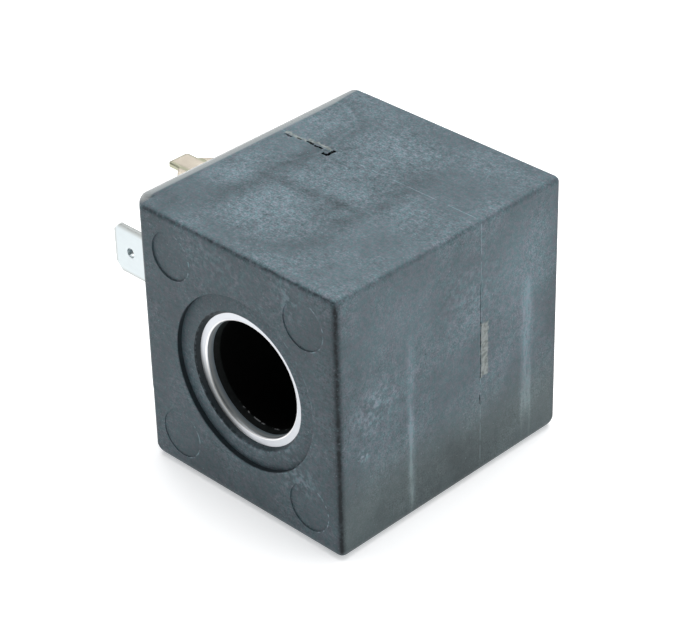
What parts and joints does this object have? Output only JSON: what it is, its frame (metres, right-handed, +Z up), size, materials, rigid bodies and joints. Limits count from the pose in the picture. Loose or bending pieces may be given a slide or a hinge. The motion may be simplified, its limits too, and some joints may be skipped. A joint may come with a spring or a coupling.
{
  "type": "solenoid valve coil",
  "caption": "Moulded solenoid valve coil: a dark block with a through bore between steel flux rings and blade terminals on one side, energised to move a valve's plunger.",
  "frame": {"origin": "on the bore's axis, midway between the front and rear faces", "axes": "+Y along the bore from the front face to the rear, +Z up, terminals towards -X"},
  "size_m": [0.0433, 0.035, 0.033],
  "materials": {
    "moulding": "matte moulded thermoset",
    "yoke_steel": "zinc plated",
    "ring_steel": "bright",
    "bobbin_plastic": "satin",
    "copper": "enamelled",
    "insulation": "polyester film",
    "tinned_blade": "tin plated",
    "brass_blade": "bare",
    "sleeving": "woven glass",
    "solder": "satin"
  },
  "bodies": {
    "root": {"housing": "moulding", "yoke_bracket": "yoke_steel", "rear_flux_plate": "yoke_steel", "front_flux_ring": "ring_steel", "rear_flux_ring": "ring_steel", "bobbin": "bobbin_plastic", "winding": "copper", "winding_wrap": "insulation", "start_strip": "insulation", "terminal_carrier": "bobbin_plastic", "line_terminal": "tinned_blade", "neutral_terminal": "tinned_blade", "earth_terminal": "brass_blade", "earth_rivet": "yoke_steel", "start_lead": "copper", "finish_lead": "copper", "start_sleeve": "sleeving", "finish_sleeve": "sleeving", "start_solder": "solder", "finish_solder": "solder"}
  },
  "joints": []
}
